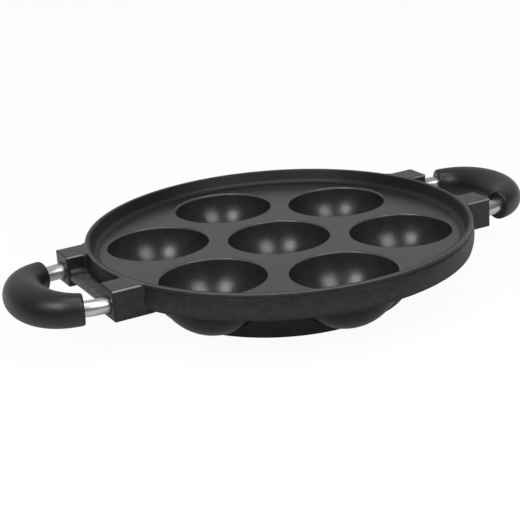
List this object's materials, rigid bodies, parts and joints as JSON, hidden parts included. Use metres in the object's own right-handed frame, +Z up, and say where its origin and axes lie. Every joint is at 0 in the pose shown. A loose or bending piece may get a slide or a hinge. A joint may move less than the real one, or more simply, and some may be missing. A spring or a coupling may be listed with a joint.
{
  "type": "aebleskiver pan",
  "caption": "Round cast pan with a low rim and half-ball cavities in its deck, a foot ring below, and a bent rod handle with a dark moulded grip on each side.",
  "frame": {"origin": "centre of the pan on the surface that it stands on, under the foot ring", "axes": "+Z up, +X towards the right handle, +Y towards the back"},
  "size_m": [0.3412, 0.2312, 0.0425],
  "materials": {
    "coated_casting": "die-cast aluminium with a matt black non-stick coating, finely mottled",
    "chromed_rod": "bright chromed steel rod",
    "moulded_grip": "black heat-resistant phenolic moulding, soft sheen",
    "steel_pin": "plain steel pin"
  },
  "bodies": {
    "root": {"pan_body": "coated_casting", "left_handle_rod": "chromed_rod", "left_handle_grip": "moulded_grip", "right_handle_rod": "chromed_rod", "right_handle_grip": "moulded_grip", "handle_pins": "steel_pin"}
  },
  "joints": []
}
